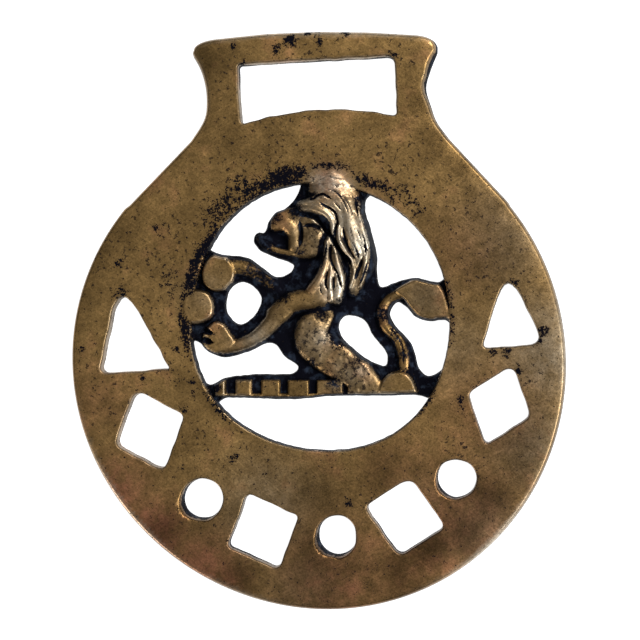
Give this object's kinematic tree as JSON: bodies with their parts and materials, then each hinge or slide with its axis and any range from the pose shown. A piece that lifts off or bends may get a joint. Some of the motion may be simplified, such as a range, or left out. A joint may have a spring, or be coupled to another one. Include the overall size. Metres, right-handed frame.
{
  "type": "horse brass",
  "caption": "Cast brass harness medallion: a pierced disc with a strap hanger and a heraldic lion in its round opening.",
  "frame": {"origin": "middle of the medallion's box, on its flat back", "axes": "+Z out of the face towards the viewer, +Y towards the hanger, +X to the right as the face is seen"},
  "size_m": [0.0764, 0.089, 0.0044],
  "materials": {
    "brass": "worn and patinated, dark in the recesses"
  },
  "bodies": {
    "root": {"horse_brass": "brass"}
  },
  "joints": []
}
